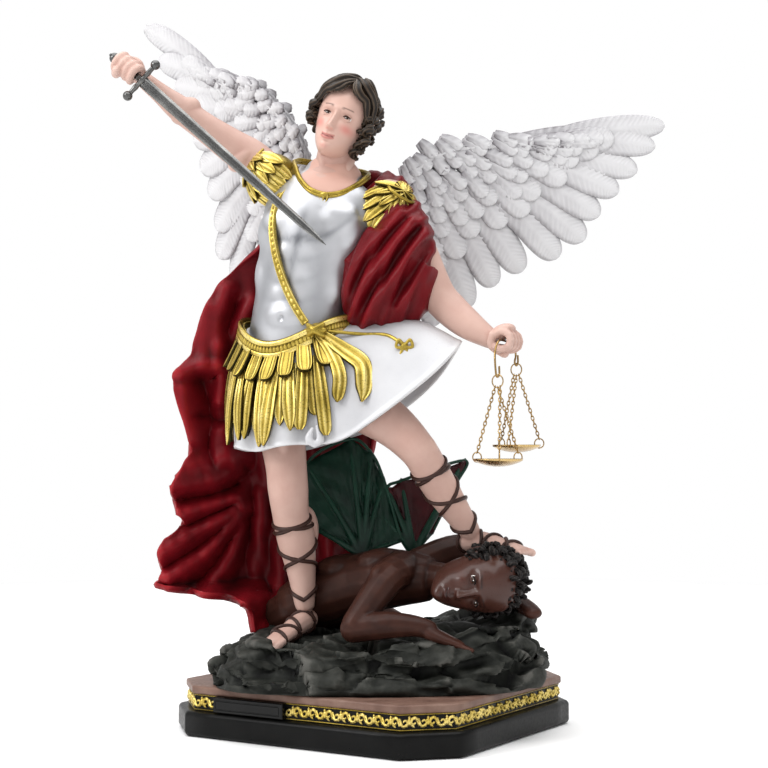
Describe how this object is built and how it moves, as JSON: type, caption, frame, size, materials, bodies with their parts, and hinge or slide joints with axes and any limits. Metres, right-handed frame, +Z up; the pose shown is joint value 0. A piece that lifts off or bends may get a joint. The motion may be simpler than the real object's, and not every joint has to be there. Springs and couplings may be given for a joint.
{
  "type": "archangel michael statue",
  "caption": "Painted resin statue of a winged archangel with raised sword and hanging scales, standing on a fallen winged figure on a moulded octagonal plinth.",
  "frame": {"origin": "centre of the plinth's underside", "axes": "+Z up, -Y towards the plinth's front with the name plate; the figure itself faces about 32 degrees round from the front, towards +X"},
  "size_m": [0.4309, 0.3289, 0.6156],
  "materials": {
    "painted_resin": "satin",
    "wing_white": "matte",
    "sword_steel": "satin",
    "scale_brass": "polished",
    "plinth_black": "gloss",
    "plate_black": "gloss"
  },
  "bodies": {
    "root": {"figure_group": "painted_resin", "wing_left": "wing_white", "wing_right": "wing_white", "sword": "sword_steel", "scale_wire": "scale_brass", "hanging_ring_front": "scale_brass", "hanging_ring_back": "scale_brass", "pan_front": "scale_brass", "pan_back": "scale_brass", "rim_ring_front_1": "scale_brass", "rim_ring_front_2": "scale_brass", "rim_ring_front_3": "scale_brass", "rim_ring_back_1": "scale_brass", "rim_ring_back_2": "scale_brass", "rim_ring_back_3": "scale_brass", "chain_front_1": "scale_brass", "chain_front_2": "scale_brass", "chain_front_3": "scale_brass", "chain_back_1": "scale_brass", "chain_back_2": "scale_brass", "chain_back_3": "scale_brass", "plinth": "plinth_black", "name_plate": "plate_black"}
  },
  "joints": []
}
